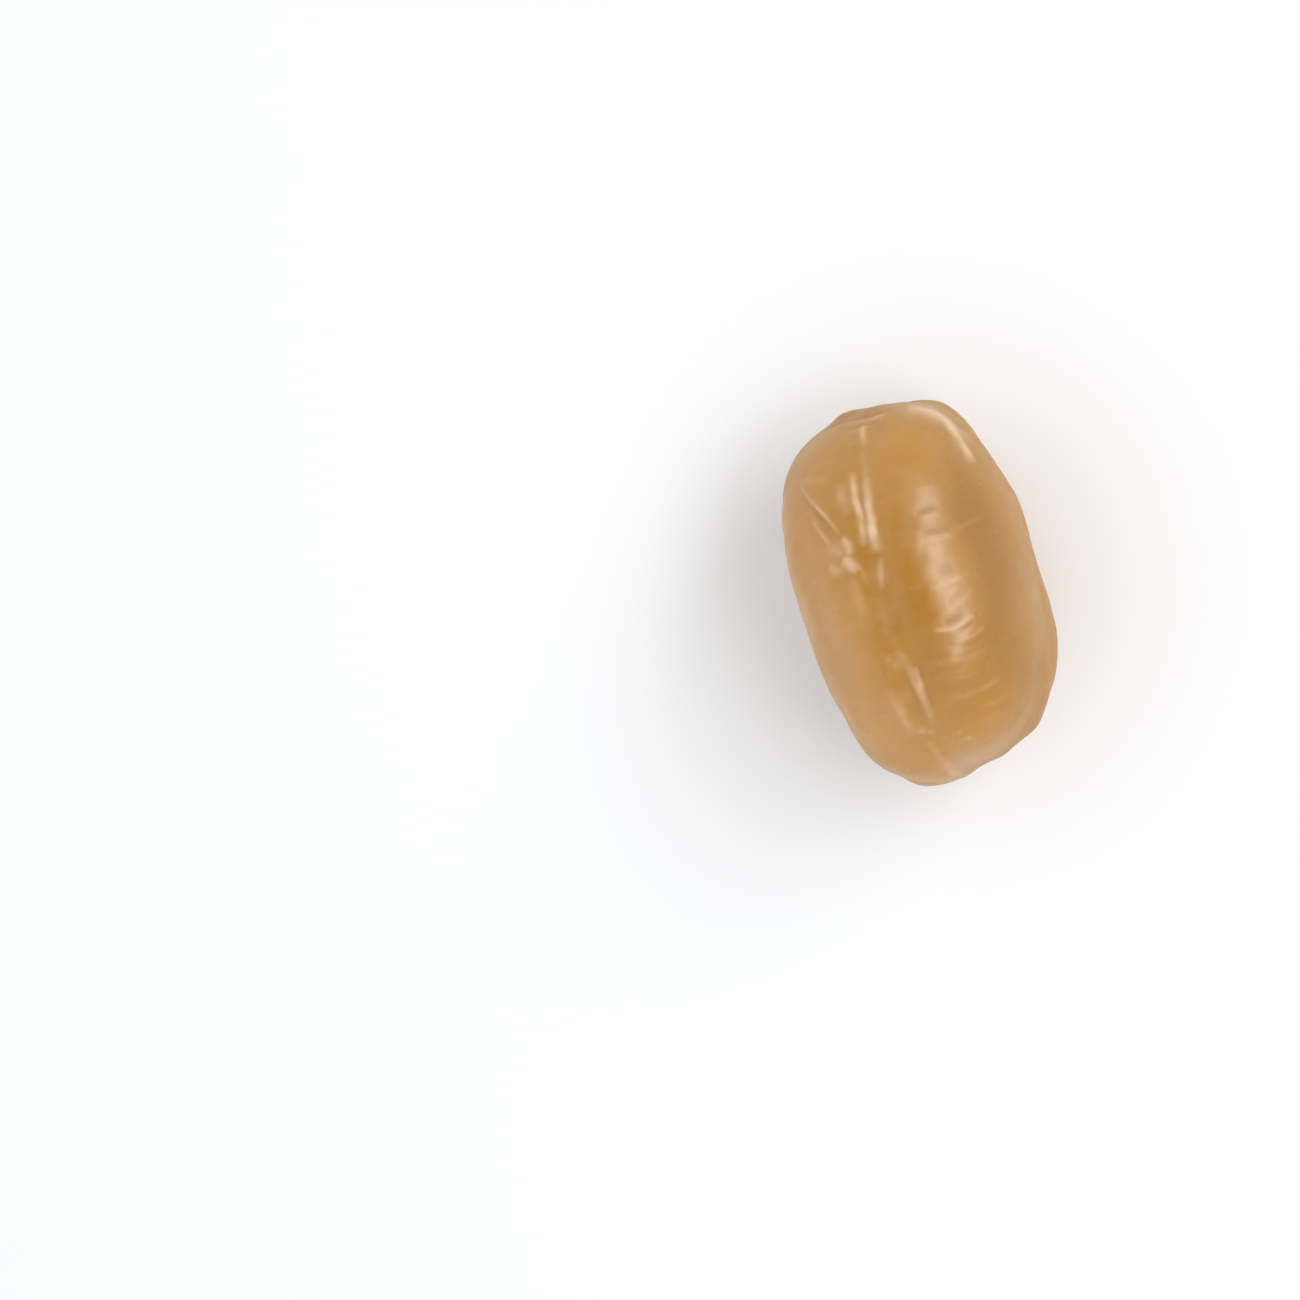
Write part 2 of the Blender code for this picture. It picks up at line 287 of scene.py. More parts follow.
class Skin:
    """The height of the real skin over the smooth pillow, gathered mark by mark."""

    def __init__(self, pillow, points, shape):
        self.pillow = pillow
        self.points = points
        self.rng = np.random.default_rng(shape.seed)
        self.height = np.zeros(len(points))
        # Pale sugar, partly rubbed and partly painted sheen, and painted shade, gathered with the
        # marks
        self.rub_and_sheen = np.zeros(len(points))
        self.painted_shade = np.zeros(len(points))
        self.strayed = points.copy()

    def let_marks_wander(self, reach, rng):
        """Makes later marks stray a little, so that none runs quite true."""
        stray = [sine_field(self.points, rng, STRAY_LENGTH) for _ in range(3)]
        self.strayed = self.points + reach * np.stack(stray, axis=1) / 2
        self.patchy = np.clip(1 + 0.2 * sine_field(self.points, rng, FADE_LENGTH), 0.3, 1.5)

    def color(self, form, rub_and_sheen, painted_shade):
        """Adds pale sugar, partly rubbed and partly painted sheen, and painted shade where form
        is above 0.
        """
        self.rub_and_sheen += (1 - self.rub_and_sheen) * rub_and_sheen * form
        self.painted_shade += (1 - self.painted_shade) * painted_shade * form

    def patch(self, at, radii, rub_and_sheen=0.0, painted_shade=0.0):
        """A broad soft patch that paints sheen and shade into the sugar, in millimetres."""
        off = (self.points - np.array(at) * MM) / (np.array(radii) * MM)
        self.color(np.exp(-(off ** 2).sum(axis=1)), rub_and_sheen, painted_shade)

    def mound(self, at, radius, height):
        """A soft round swelling, or a dent if height is negative, in millimetres."""
        gap = np.linalg.norm(self.points - np.array(at) * MM, axis=1)
        self.height += height * MM * np.exp(-((gap / (radius * MM)) ** 2))

    def weal(self, path, width, height, rub_and_sheen=0.0, painted_shade=0.0):
        """A ridge along a path, or a furrow if height is negative."""
        nearest = np.full(len(self.points), np.inf)
        along = np.zeros(len(self.points))
        legs = len(path) - 1
        for leg in range(legs):
            step = path[leg + 1] - path[leg]
            off = self.strayed - path[leg]
            share = np.clip(off @ step / (step @ step), 0, 1)
            gap = np.linalg.norm(off - share[:, None] * step, axis=1)
            closer = gap < nearest
            nearest[closer] = gap[closer]
            along[closer] = (leg + share[closer]) / legs
        fade = np.sqrt(np.clip(np.sin(np.pi * along), 0, 1))
        form = fade * np.exp(-((nearest / width) ** 2)) * self.patchy
        self.height += height * form
        self.color(np.clip(form, 0, 1), rub_and_sheen, painted_shade)

    def top_weal(self, stations, width, height, rub_and_sheen=0.0, painted_shade=0.0):
        """A weal on the upper side, through stations of x and y in millimetres."""
        path = [self.pillow.on_top(x, y) for x, y in stations]
        self.weal(path, width * MM, height * MM, rub_and_sheen, painted_shade)

    def top_fleck(self, x, y, radius, height, rub_and_sheen=0.0, painted_shade=0.0):
        """A small round bump or dent on the upper side, in millimetres."""
        gap = np.linalg.norm(self.strayed - self.pillow.on_top(x, y), axis=1)
        form = np.exp(-((gap / (radius * MM)) ** 2))
        self.height += height * MM * form
        self.color(form, rub_and_sheen, painted_shade)

    def end_weal(self, stations, width, height, rub_and_sheen=0.0):
        """A weal on an end, through stations of x, y and z in millimetres."""
        self.weal(np.array(stations) * MM, width * MM, height * MM, rub_and_sheen)


def press_seam(skin, shape):
    """The furrow and the broken lips of the parting seam, all round the sweet."""
    points, half = skin.points, skin.pillow.half
    gap = skin.strayed[:, 0] - shape.seam_offset - shape.seam_stray * points[:, 1]
    round_angle = np.arctan2(points[:, 2] / half[2], points[:, 1] / half[1])
    furrow = np.exp(-((gap / shape.seam_furrow_width) ** 2))
    strength = 0.5 + 0.3 * np.sin(3 * round_angle + 1.0) + 0.2 * np.sin(8 * round_angle)
    spread = shape.seam_lip_gap * (1 + 0.6 * np.sin(2 * round_angle + 0.6))
    lips = np.exp(-(((np.abs(gap) - spread) / shape.seam_lip_width) ** 2))
    below = 1 - step_up(0.2 * half[2], 0.6 * half[2], points[:, 2])
    off_nubs = 1 - step_up(SEAM_FADES, SEAM_ENDS, np.abs(points[:, 1]) / half[1])
    lips *= strength * below * skin.patchy * off_nubs
    skin.height += shape.seam_lip_height * lips
    skin.height -= shape.seam_furrow_depth * furrow * off_nubs
    # Pale sugar on the lips, partly rubbed and partly a painted highlight where they catch the
    # light
    skin.color(np.clip(lips, 0, 1), 0.4, 0.0)


def press_top_seam(skin):
    """The lips of the seam's upper stretch, which part, close and part again."""
    # The lips' pale sugar is partly rubbed and partly a painted highlight where they catch the
    # light
    skin.top_weal([(0.9, 11.1), (0.86, 10.5), (0.82, 9.7)], 0.22, 0.08, 0.6)
    skin.top_weal([(0.8, 9.8), (0.75, 8.5), (0.66, 7.2)], 0.24, 0.03, 0.2)
    skin.top_weal([(-0.95, 7.9), (-1.1, 6.8), (-0.8, 5.9)], 0.36, 0.03, 0.3)
    skin.top_weal([(-0.15, 8.5), (-0.25, 6.6), (-0.22, 5.5), (-0.52, 3.6)], 0.24, 0.06, 0.75)
    skin.top_weal([(0.17, 8.0), (0.1, 6.0), (-0.12, 3.9)], 0.2, -0.05)
    skin.top_weal([(0.68, 7.7), (0.57, 6.4), (0.42, 5.2), (0.3, 4.1)], 0.28, 0.07, 0.85)
    skin.top_weal([(0.45, 5.4), (0.32, 4.5), (0.12, 3.0)], 0.34, 0.06, 0.9)
    skin.top_weal([(0.27, 2.7), (0.1, 1.8), (-0.2, 0.6)], 0.18, 0.03, 0.4)
    # Painted light: the shallow furrow's pale sugar lifts its shade
    skin.top_weal([(-0.3, 2.9), (-0.4, 1.0), (-0.55, -1.4), (-0.6, -3.2)], 0.5, -0.02, 0.14)


def press_lens(skin):
    """The long flat blister in the seam's lower stretch, between two lips."""
    skin.top_weal([(-0.9, -3.6), (-0.95, -6.0), (-1.0, -8.6)], 0.7, -0.06)
    skin.top_weal([(-1.45, -3.2), (-1.68, -4.3), (-1.8, -5.4)], 0.18, -0.04)
    # Pale sugar on the lips and flecks, partly rubbed and partly a painted highlight
    skin.top_weal([(-1.85, -5.3), (-1.76, -6.8), (-1.66, -7.7), (-1.6, -8.8)], 0.34, 0.09, 0.25)
    skin.top_weal([(-0.3, -3.6), (-0.02, -4.7), (0.05, -5.8), (0.02, -6.8)], 0.32, 0.11, 0.3)
    skin.top_weal([(0.04, -5.6), (0.0, -6.8), (-0.12, -8.6)], 0.24, 0.07, 0.25)
    # Painted shade in these two furrows
    skin.top_weal([(0.42, -4.2), (0.45, -5.8), (0.36, -7.6)], 0.22, -0.04, 0, 0.25)
    skin.top_weal([(-0.6, -4.4), (-0.5, -6.4), (-0.6, -8.2)], 0.2, -0.03, 0, 0.15)
    for x, y, rubbed in ((-1.2, -3.6, 0.2), (-0.9, -4.15, 0.3), (-0.5, -3.5, 0.25)):
        skin.top_fleck(x, y, 0.32, 0.02, rubbed)
    skin.top_fleck(-1.05, -8.7, 0.24, 0.02, 0.35)
    skin.top_fleck(-0.55, -9.0, 0.2, 0.02, 0.2)
    skin.top_weal([(-0.95, -9.4), (-0.8, -10.7), (-0.74, -11.5), (-0.8, -12.0)], 0.24, 0.07, 0.25)


def scratch_top(skin):
    """Scratches and pressed scuffs on the half of the upper side at -X."""
    # Raised scratches and the star carry pale sugar, partly rubbed and partly a painted
    # highlight; the dents carry painted shade
    skin.top_weal([(-3.9, 8.8), (-3.0, 7.1), (-2.4, 6.1), (-1.85, 4.9)], 0.13, 0.04, 0.55)
    skin.top_weal([(-3.8, 8.0), (-3.1, 6.8), (-2.1, 5.0)], 0.18, -0.035, 0, 0.5)
    skin.top_weal([(-3.6, 6.4), (-3.05, 5.35), (-2.6, 4.45)], 0.14, 0.035, 0.4)
    skin.top_weal([(-1.75, 4.7), (-1.5, 4.0), (-1.52, 3.4)], 0.26, 0.05, 0.85)
    skin.top_weal([(-2.1, 3.35), (-1.75, 2.9), (-1.45, 2.2)], 0.34, 0.04, 0.85)
    skin.top_weal([(-3.2, 3.3), (-2.8, 2.75), (-2.2, 2.5)], 0.3, 0.03, 0.35)
    skin.top_weal([(-3.1, 4.1), (-2.5, 3.6), (-2.1, 3.2)], 0.2, -0.04, 0, 0.3)
    skin.top_fleck(-2.6, 4.1, 0.6, 0.02, 0.3)
    skin.top_fleck(-2.2, 3.75, 0.4, 0.02, 0.25)
    skin.top_weal([(-1.35, 2.9), (-1.07, 2.2), (-1.05, 1.2)], 0.18, 0.03, 0.2)
    skin.top_weal([(-4.6, 9.1), (-3.2, 8.8), (-1.5, 8.2)], 0.2, 0.02, 0.12)
    skin.top_weal([(-1.75, 2.1), (-1.82, 0.7), (-1.95, -0.8)], 0.45, 0.03, 0.2)


def crease_top(skin):
    """Short crosswise dents and wrinkles along the crest at +X of the seam."""
    # The dents and dimples carry painted shade where they turn from the key light; the lips
    # between carry pale sugar, partly rubbed and partly a painted highlight
    skin.top_weal([(3.1, 4.5), (3.85, 4.5), (4.6, 4.25)], 0.28, -0.025, 0, 0.5)
    skin.top_weal([(3.2, 4.15), (3.9, 4.0), (4.6, 3.9)], 0.2, 0.012, 0.2)
    skin.top_weal([(3.2, 3.1), (4.0, 3.0), (5.2, 2.7)], 0.26, -0.025, 0, 0.5)
    skin.top_weal([(3.4, 2.7), (4.2, 2.5), (5.1, 2.35)], 0.2, 0.012, 0.2)
    skin.top_weal([(4.9, 2.6), (5.6, 2.66), (6.5, 2.85)], 0.14, 0.01, 0.12)
    skin.top_fleck(2.88, 3.7, 0.3, -0.015, 0, 0.25)
    skin.top_fleck(2.8, 1.55, 0.38, -0.015, 0, 0.25)
    skin.top_weal([(3.1, 3.4), (3.02, 2.7), (2.6, 2.0)], 0.24, 0.012, 0.2)
    skin.top_weal([(3.35, 0.6), (3.87, 0.5), (4.5, 0.33)], 0.42, -0.018, 0, 0.5)
    skin.top_weal([(2.6, -0.3), (3.7, -0.42), (4.8, -0.35)], 0.15, 0.014, 0.3)
    skin.top_weal([(3.5, -1.72), (4.14, -1.5), (4.9, -1.25)], 0.24, -0.025, 0, 0.3)
    skin.top_weal([(2.9, -2.62), (3.62, -2.6), (4.4, -2.45)], 0.26, -0.03, 0, 0.45)
    skin.top_weal([(2.1, -2.9), (3.3, -3.14), (4.7, -2.9)], 0.15, 0.022, 0.55)
    skin.top_weal([(3.4, -3.5), (3.95, -3.48), (4.5, -3.35)], 0.2, -0.03)
    skin.top_weal([(3.0, -4.05), (3.9, -4.1), (5.0, -3.7)], 0.16, 0.018, 0.3)
    skin.top_weal([(2.0, -4.2), (2.7, -4.6), (3.4, -4.7)], 0.34, 0.01, 0.1)
    skin.top_weal([(2.3, -5.1), (3.4, -5.35), (4.6, -5.2)], 0.13, 0.008, 0.1)
    skin.top_weal([(1.7, -6.0), (2.9, -6.35), (3.8, -6.3)], 0.12, 0.008, 0.1)
    skin.top_weal([(2.6, -6.2), (3.6, -6.6), (4.6, -6.4)], 0.24, -0.02)
    skin.top_weal([(1.6, -7.1), (2.3, -7.5), (3.2, -7.7)], 0.13, 0.01, 0.12)
    skin.top_weal([(3.0, -8.5), (4.0, -8.6), (4.8, -8.3)], 0.16, 0.01, 0.12)
    skin.top_fleck(1.42, -10.1, 0.2, 0.02, 0.3)
    skin.top_fleck(1.1, -9.6, 0.16, 0.015, 0.2)
    skin.top_weal([(2.6, -7.4), (3.5, -7.55), (4.8, -7.2)], 0.16, 0.015, 0.25)


def mark_upper_end(skin):
    """Folds and a bright lip where the end at +Y was pinched off."""
    # The lips' pale sugar is partly rubbed and partly a painted highlight where they catch the
    # light
    skin.end_weal([(-1.7, 11.7, 2.9), (0.2, 11.6, 3.8), (2.4, 11.4, 3.9)], 0.24, -0.07)
    skin.end_weal([(-0.6, 11.45, 4.2), (1.2, 11.35, 4.6), (2.7, 11.2, 4.2)], 0.2, 0.06, 0.35)
    skin.end_weal([(-0.4, 11.1, 5.0), (0.8, 11.1, 5.0), (1.8, 11.0, 5.0)], 0.18, -0.08)
    skin.end_weal([(3.5, 10.9, 3.4), (4.6, 10.2, 3.1), (5.5, 9.2, 2.8), (6.2, 7.6, 3.3),
                   (6.6, 6.2, 3.5)], 0.62, 0.09, 0.85)
    skin.end_weal([(4.3, 10.7, 1.4), (5.4, 9.6, 1.0), (6.2, 8.3, 1.2)], 0.5, -0.12)


def paint_sheen_and_shade(skin):
    """Broad patches of painted reflection, painted highlight and painted shade, which stand in
    for how the light falls.
    """
    # Painted shade: the sugar darkens down the sides, towards the table
    painted_low_shade = 1 - step_up(LOW_SHADE * MM, HIGH_SHADE * MM, skin.points[:, 2])
    skin.color(painted_low_shade, 0.0, 0.7)
    # Painted reflection of the bright wall at -X on the face at -X
    skin.patch((-3.6, -1.5, 8.0), (2.0, 4.6, 3.0), 0.12)
    skin.patch((-3.2, -8.5, 6.0), (2.0, 2.4, 4.0), 0.1)
    # Painted reflection on the upper end
    skin.patch((4.2, 10.7, 3.0), (1.7, 1.3, 1.7), 0.3)
    # Painted highlight: a whiter band along the crest where the key light shines
    skin.patch((3.9, 1.6, 8.0), (1.1, 4.0, 3.0), 0.16)
    # Painted reflection on the lower end
    skin.patch((0.5, -11.5, 3.0), (3.5, 1.4, 3.0), 0.28)
    # Painted reflection of the white walls on the rim at +X
    skin.patch((7.2, -4.5, 2.0), (1.4, 4.5, 2.5), 0.14)
    skin.patch((7.4, 3.5, 1.0), (1.2, 5.0, 2.0), 0.1)
    # Painted reflection on the upper end
    skin.patch((-3.6, 10.6, 4.0), (2.0, 1.5, 2.5), 0.12)
    skin.patch((5.6, 9.4, 1.8), (1.5, 2.0, 1.5), 0.3)
    # Painted shade: deeper sugar in the strip by the seam, which reflects the dark ceiling
    skin.patch((1.2, -4.8, 9.0), (1.0, 3.2, 3.0), 0.0, 0.2)
    skin.patch((1.5, 1.0, 9.0), (1.0, 4.0, 3.0), 0.0, 0.1)
    # Painted shade on the side at +X, beyond the highlight
    skin.patch((6.2, 2.0, 5.5), (1.3, 9.0, 3.5), 0.0, 1.0)
    skin.patch((5.6, -5.5, 5.5), (1.3, 4.0, 3.0), 0.0, 0.5)


def nub(skin, shape, side, middle, half_size, height):
    """The pinched nub on the end at side times Y, with a rim, a dimple and a groove."""
    points, half = skin.points, skin.pillow.half
    across = (points[:, 0] - middle[0] * MM) / (half_size[0] * MM)
    up = (points[:, 2] - middle[1] * MM) / (half_size[1] * MM)
    turn = np.arctan2(up, across)
    ragged = 1 + 0.07 * np.sin(3 * turn + 2 * side) + 0.05 * np.sin(7 * turn + side)
    reach = (np.abs(across) ** 3 + np.abs(up) ** 3) ** (1 / 3) * ragged
    boss = height * (1 - step_up(0.45, 1.3, reach))
    rim = 0.12 * height * np.exp(-(((reach - NUB_RIM[0]) / NUB_RIM[1]) ** 2))
    groove = np.exp(-(((reach - NUB_FOOT[0]) / NUB_FOOT[1]) ** 2))
    dimple = -shape.nub_dimple * np.exp(-((reach / 0.45) ** 2))
    on_end = step_up(0.45 * half[1], 0.62 * half[1], side * points[:, 1])
    skin.height += (boss + rim - shape.nub_groove * groove + dimple) * on_end


def swell(skin):
    """Broad swellings and flats of a sweet that set a little out of true."""
    skin.mound((-4.6, 8.6, 2.0), 4.0, 0.2)
    skin.mound((4.2, 10.6, -1.5), 2.6, 0.12)
    skin.mound((7.2, 2.5, 1.0), 4.0, 0.3)
    skin.mound((7.0, -6.4, -1.0), 2.6, 0.35)
    skin.mound((4.4, -10.7, 1.5), 2.6, -0.4)
    skin.mound((3.9, -11.0, -3.0), 1.2, 0.25)
    skin.mound((-3.7, -11.7, 0.0), 1.8, 0.7)
    skin.mound((-6.4, -9.2, 0.0), 2.2, -0.7)
    skin.mound((1.3, -12.1, -1.0), 1.8, 0.25)
    skin.mound((-1.0, 11.9, 1.5), 1.1, 0.35)
    skin.mound((-6.6, -7.4, 1.0), 3.4, -0.3)
    skin.mound((-7.2, 3.0, 1.0), 4.5, -0.12)


def crease_hidden_side(skin, shape, rng):
    """Crosswise creases on the lower side, like those that show on top."""
    for _ in range(shape.crease_count):
        x, y = rng.uniform(-0.75, 0.75, size=2) * skin.pillow.half[:2] / MM
        place = skin.pillow.on_top(x, y) * (1, 1, -1)
        reach = shape.crease_length * rng.uniform(0.3, 0.6)
        tilt = rng.normal(0, 0.3)
        step = reach * np.array([np.cos(tilt), np.sin(tilt), 0])
        depth = shape.crease_depth * rng.choice([-1.4, 1.0])
        skin.weal([place - step, place, place + step], shape.crease_width, depth, 0.4)


def scuff_sides(skin, shape, rng):
    """Faint short scratches and dents on the sides, the ends and the underside."""
    for _ in range(shape.scuff_count):
        heading = np.array([*rng.normal(size=2), rng.uniform(-1.0, 0.5)])
        place = skin.pillow.points((heading * skin.pillow.half)[None])[0]
        step = np.cross(place / np.linalg.norm(place), rng.normal((0, 1, 0), 0.25))
        step *= shape.scuff_length * rng.uniform(0.3, 1.0) / np.linalg.norm(step)
        path = skin.pillow.points(np.array([place - step, place, place + step]))
        width = shape.scuff_width * rng.uniform(0.7, 2.0)
        height = shape.scuff_height * rng.choice([-1.3, 0.7])
        skin.weal(path, width, height, rng.uniform(0.0, 0.1))


def drop_skin(shape, cube):
    """Skin points, with their pale sugar, partly rubbed and partly painted sheen, and their
    painted shade, for points of a cube of half size 1.
    """
    pillow = Pillow(shape)
    points = pillow.points(np.tan(cube * np.pi / 4) * pillow.half)
    skin = Skin(pillow, points, shape)
    fine = np.random.default_rng(shape.seed + 1)
    skin.let_marks_wander(shape.wander, fine)
    press_seam(skin, shape)
    press_top_seam(skin)
    scratch_top(skin)
    press_lens(skin)
    crease_top(skin)
    mark_upper_end(skin)
    paint_sheen_and_shade(skin)
    nub(skin, shape, 1, *UPPER_NUB, shape.upper_nub_height)
    nub(skin, shape, -1, *LOWER_NUB, shape.lower_nub_height)
    swell(skin)
    skin.height += shape.wave_height * sine_field(points, skin.rng, shape.wave_length,
                                                  WAVE_COUNT, (0.5, 1.2))
    crease_hidden_side(skin, shape, skin.rng)
    scuff_sides(skin, shape, np.random.default_rng(shape.seed + 2))
    skin.height += shape.ripple_height * sine_field(points, fine, shape.ripple_length,
                                                    RIPPLE_COUNT)
    skin.height += shape.rib_height * sine_field(points, fine, shape.rib_length,
                                                 RIB_COUNT, grain=RIB_GRAIN)
    moved = points + pillow.normals(points) * skin.height[:, None]
    moved[:, 1] += shape.end_slant * moved[:, 0]
    return moved, skin.rub_and_sheen, skin.painted_shade


def blown_up_cube(shape):
    """A cube of even cells, blown up to the sweet, with its pale sugar, painted sheen and painted
    shade kept on the points.
    """
    mesh = bmesh.new()
    bmesh.ops.create_cube(mesh, size=2)
    bmesh.ops.subdivide_edges(mesh, edges=mesh.edges[:], cuts=shape.cells - 1,
                              use_grid_fill=True)
    mesh.verts.layers.float.new("rub_and_sheen")
    mesh.verts.layers.float.new("painted_shade")
    rub_and_sheen_layer, painted_shade_layer = (mesh.verts.layers.float[name] for name in ("rub_and_sheen", "painted_shade"))
    cube = np.array([vert.co for vert in mesh.verts])
    for vert, place, rub_and_sheen, painted_shade in zip(mesh.verts, *drop_skin(shape, cube)):
        vert.co = place
        vert[rub_and_sheen_layer] = rub_and_sheen
        vert[painted_shade_layer] = painted_shade
    return mesh


def cut_flat_spot(mesh, shape):
    """Cuts the lowest part off level and closes the cut."""
    level = shape.flat_spot_depth - shape.width / 2
    parts = mesh.verts[:] + mesh.edges[:] + mesh.faces[:]
    cut = bmesh.ops.bisect_plane(mesh, geom=parts, dist=0.002 * MM, plane_co=(0, 0, level),
                                 plane_no=(0, 0, 1), clear_inner=True)
    rim = [part for part in cut["geom_cut"] if isinstance(part, bmesh.types.BMEdge)]
    for edge in rim:
        for vert in edge.verts:
            vert.co.z = level
    bmesh.ops.contextual_create(mesh, geom=rim)


def stand_where_solid_stands(mesh):
    """Moves the mesh so that the middle of its box's underside is where the solid's is."""
    places = np.array([vert.co for vert in mesh.verts])
    low, high = places.min(axis=0), places.max(axis=0)
    solid_low, solid_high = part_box(NODE)
    foot = Vector([(low[0] + high[0]) / 2, (low[1] + high[1]) / 2, low[2]])
    solid_foot = Vector([(solid_low[0] + solid_high[0]) / 2,
                         (solid_low[1] + solid_high[1]) / 2, solid_low[2]])
    bmesh.ops.translate(mesh, verts=mesh.verts[:], vec=solid_foot - foot)


class NodeBench:
    """Lays out the nodes of one material or group."""

    def __init__(self, tree):
        self.tree = tree
        self.count = 0

    def add(self, kind, inputs=None, **settings):
        """Adds a node, with its settings, and its inputs linked or set."""
        node = self.tree.nodes.new(kind)
        node.location = (220 * (self.count % 8), -260 * (self.count // 8))
        self.count += 1
        for name, value in settings.items():
            setattr(node, name, value)
        for key, value in (inputs or {}).items():
            if isinstance(value, bpy.types.NodeSocket):
                self.tree.links.new(value, node.inputs[key])
            else:
                node.inputs[key].default_value = value
        return node


def cloudy_group():
    """A node group that makes soft cloudy patches from a place, a size and a contrast."""
    tree = bpy.data.node_groups.new("cloudy_patches", "ShaderNodeTree")
    for name, kind, default in (("Place", "NodeSocketVector", None),
                                ("Scale", "NodeSocketFloat", 300.0),
                                ("Detail", "NodeSocketFloat", 2.0),
                                ("Low", "NodeSocketFloat", 0.35),
                                ("High", "NodeSocketFloat", 0.65)):
        socket = tree.interface.new_socket(name, in_out="INPUT", socket_type=kind)
        if default is not None:
            socket.default_value = default
    tree.interface.new_socket("Patches", in_out="OUTPUT", socket_type="NodeSocketFloat")
    bench = NodeBench(tree)
    given = bench.add("NodeGroupInput").outputs
    noise = bench.add("ShaderNodeTexNoise", {"Vector": given["Place"],
                                             "Scale": given["Scale"],
                                             "Detail": given["Detail"]})
    spread = bench.add("ShaderNodeMapRange", {"Value": noise.outputs["Fac"],
                                              "From Min": given["Low"],
                                              "From Max": given["High"]},
                       interpolation_type="SMOOTHSTEP")
    bench.add("NodeGroupOutput", {"Patches": spread.outputs["Result"]})
    return tree


def patches(bench, place, scale, low, high, detail=2.0):
    """Places the cloudy group in a material and gives its mask."""
    node = bench.add("ShaderNodeGroup", node_tree=bpy.data.node_groups["cloudy_patches"])
    bench.tree.links.new(place, node.inputs["Place"])
    for name, value in (("Scale", scale), ("Detail", detail), ("Low", low), ("High", high)):
        node.inputs[name].default_value = value
    return node.outputs["Patches"]


def blended(bench, factor, first, second, blend_type="MIX"):
    """A colour mix of two colours or sockets."""
    node = bench.add("ShaderNodeMix", data_type="RGBA", blend_type=blend_type)
    color_inputs = [one for one in node.inputs if one.type == "RGBA"]
    factor_input = [one for one in node.inputs if one.type == "VALUE" and one.enabled][0]
    for socket, value in zip([factor_input, *color_inputs], (factor, first, second)):
        if isinstance(value, bpy.types.NodeSocket):
            bench.tree.links.new(value, socket)
        else:
            socket.default_value = value
    return [one for one in node.outputs if one.type == "RGBA"][0]


def butterscotch_material(finish):
    """Opaque golden-brown boiled sugar, cloudy inside, with a waxy and rubbed skin, and painted
    sheen and painted shade from the skin's points.
    """
    material = bpy.data.materials.new("butterscotch_sugar")
    material.use_nodes = True
    material.node_tree.nodes.clear()
    bench = NodeBench(material.node_tree)
    place = bench.add("ShaderNodeTexCoord").outputs["Object"]
    crosswise = bench.add("ShaderNodeMapping", {"Vector": place, "Scale": RIB_GRAIN})
    # Pale sugar on the points: partly rubbed, partly painted sheen and painted highlight
    rub_and_sheen = bench.add("ShaderNodeAttribute", attribute_name="rub_and_sheen").outputs["Fac"]
    # Painted shade on the points, darker where the skin lies in shade
    painted_shade = bench.add("ShaderNodeAttribute", attribute_name="painted_shade").outputs["Fac"]

    clouds = patches(bench, place, CLOUD_SCALE, 0.3, 0.7)
    # Real amber clouds, with the painted shade added on top
    clear = bench.add("ShaderNodeMath", {0: clouds, 1: CLOUD_AMBER, 2: painted_shade},
                      operation="MULTIPLY_ADD", use_clamp=True)
    streaks = patches(bench, crosswise.outputs["Vector"], STREAK_SCALE, 0.3, 1.1, 4.0)
    specks = patches(bench, place, SPECK_SCALE, 0.62, 0.8)
    pale_and_sheen = bench.add("ShaderNodeMath", {0: specks, 1: SPECK_BLOOM, 2: rub_and_sheen},
                     operation="MULTIPLY_ADD", use_clamp=True)
    creamed = blended(bench, streaks, (*finish.sugar_color, 1), (*finish.cream_color, 1))
    deep = blended(bench, clear.outputs[0], creamed, (*finish.amber_and_shade_color, 1))
    sugar = blended(bench, pale_and_sheen.outputs[0], deep, (*finish.rub_and_sheen_color, 1))

    rubbed = patches(bench, place, RUB_SCALE, 0.42, 0.75, 4.0)
    worn = bench.add("ShaderNodeMath", {0: rub_and_sheen, 1: rubbed}, operation="MAXIMUM")
    rough = bench.add("ShaderNodeMapRange", {"Value": worn.outputs[0],
                                             "To Min": finish.roughness,
                                             "To Max": finish.scuffed_roughness})
    dull = bench.add("ShaderNodeMath", {0: painted_shade, 1: finish.dullness, 2: rough.outputs["Result"]},
                     operation="MULTIPLY_ADD")

    pores = bench.add("ShaderNodeTexNoise", {"Vector": place, "Scale": PORE_SCALE,
                                             "Detail": 3.0})
    streak_relief = bench.add("ShaderNodeTexNoise", {"Vector": crosswise.outputs["Vector"],
                                                     "Scale": STREAK_RELIEF_SCALE,
                                                     "Detail": 3.0})
    streak_bump = bench.add("ShaderNodeBump", {"Height": streak_relief.outputs["Fac"],
                                               "Distance": finish.streak_height})
    bump = bench.add("ShaderNodeBump", {"Height": pores.outputs["Fac"],
                                        "Distance": finish.pore_height,
                                        "Normal": streak_bump.outputs["Normal"]})
    shader = bench.add("ShaderNodeBsdfPrincipled", {
        "Base Color": sugar, "Roughness": dull.outputs[0],
        "Normal": bump.outputs["Normal"], "Subsurface Weight": 1.0,
        "Subsurface Radius": GLOW_TINT, "Subsurface Scale": finish.glow_depth,
        "IOR": 1.5, "Specular IOR Level": 0.9})
    bench.add("ShaderNodeOutputMaterial", {"Surface": shader.outputs["BSDF"]})
    return material


